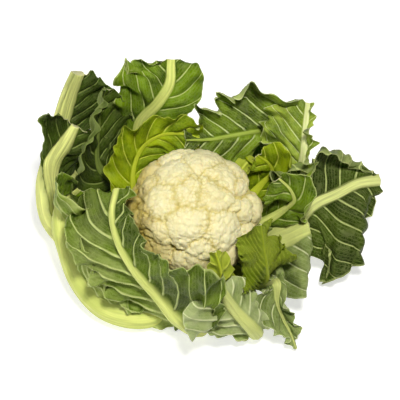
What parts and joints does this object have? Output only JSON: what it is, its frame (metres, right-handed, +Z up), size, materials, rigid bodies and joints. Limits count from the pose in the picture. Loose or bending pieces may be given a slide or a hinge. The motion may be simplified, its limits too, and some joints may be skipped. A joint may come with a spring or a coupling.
{
  "type": "cauliflower",
  "caption": "Fresh cauliflower head standing on its cut stem, a lumpy cream curd held in spread ribbed green leaves.",
  "frame": {"origin": "middle of the stem's flat cut face, on the ground", "axes": "+Z up along the stem through the head, +X towards the longest spread leaf on the right, -Y towards the front"},
  "size_m": [0.3516, 0.2727, 0.1977],
  "materials": {
    "curd": "matte",
    "stem": "matte",
    "outer_leaf": "satin",
    "dark_leaf": "satin",
    "inner_leaf": "satin",
    "grey_leaf": "matte"
  },
  "bodies": {
    "root": {"curd": "curd", "stem": "stem", "leaf_front_left": "outer_leaf", "leaf_front": "grey_leaf", "leaf_front_tip": "grey_leaf", "leaf_left_low": "outer_leaf", "leaf_left_mid": "dark_leaf", "leaf_left_back": "dark_leaf", "leaf_back_left": "dark_leaf", "leaf_back": "outer_leaf", "leaf_back_right": "outer_leaf", "leaf_right_upper": "outer_leaf", "leaf_right": "dark_leaf", "leaf_right_low": "grey_leaf", "leaf_inner_back": "inner_leaf", "leaf_inner_right": "outer_leaf", "leaf_inner_back_right": "inner_leaf", "leaf_inner_front_right": "inner_leaf", "leaf_inner_front": "inner_leaf"}
  },
  "joints": []
}
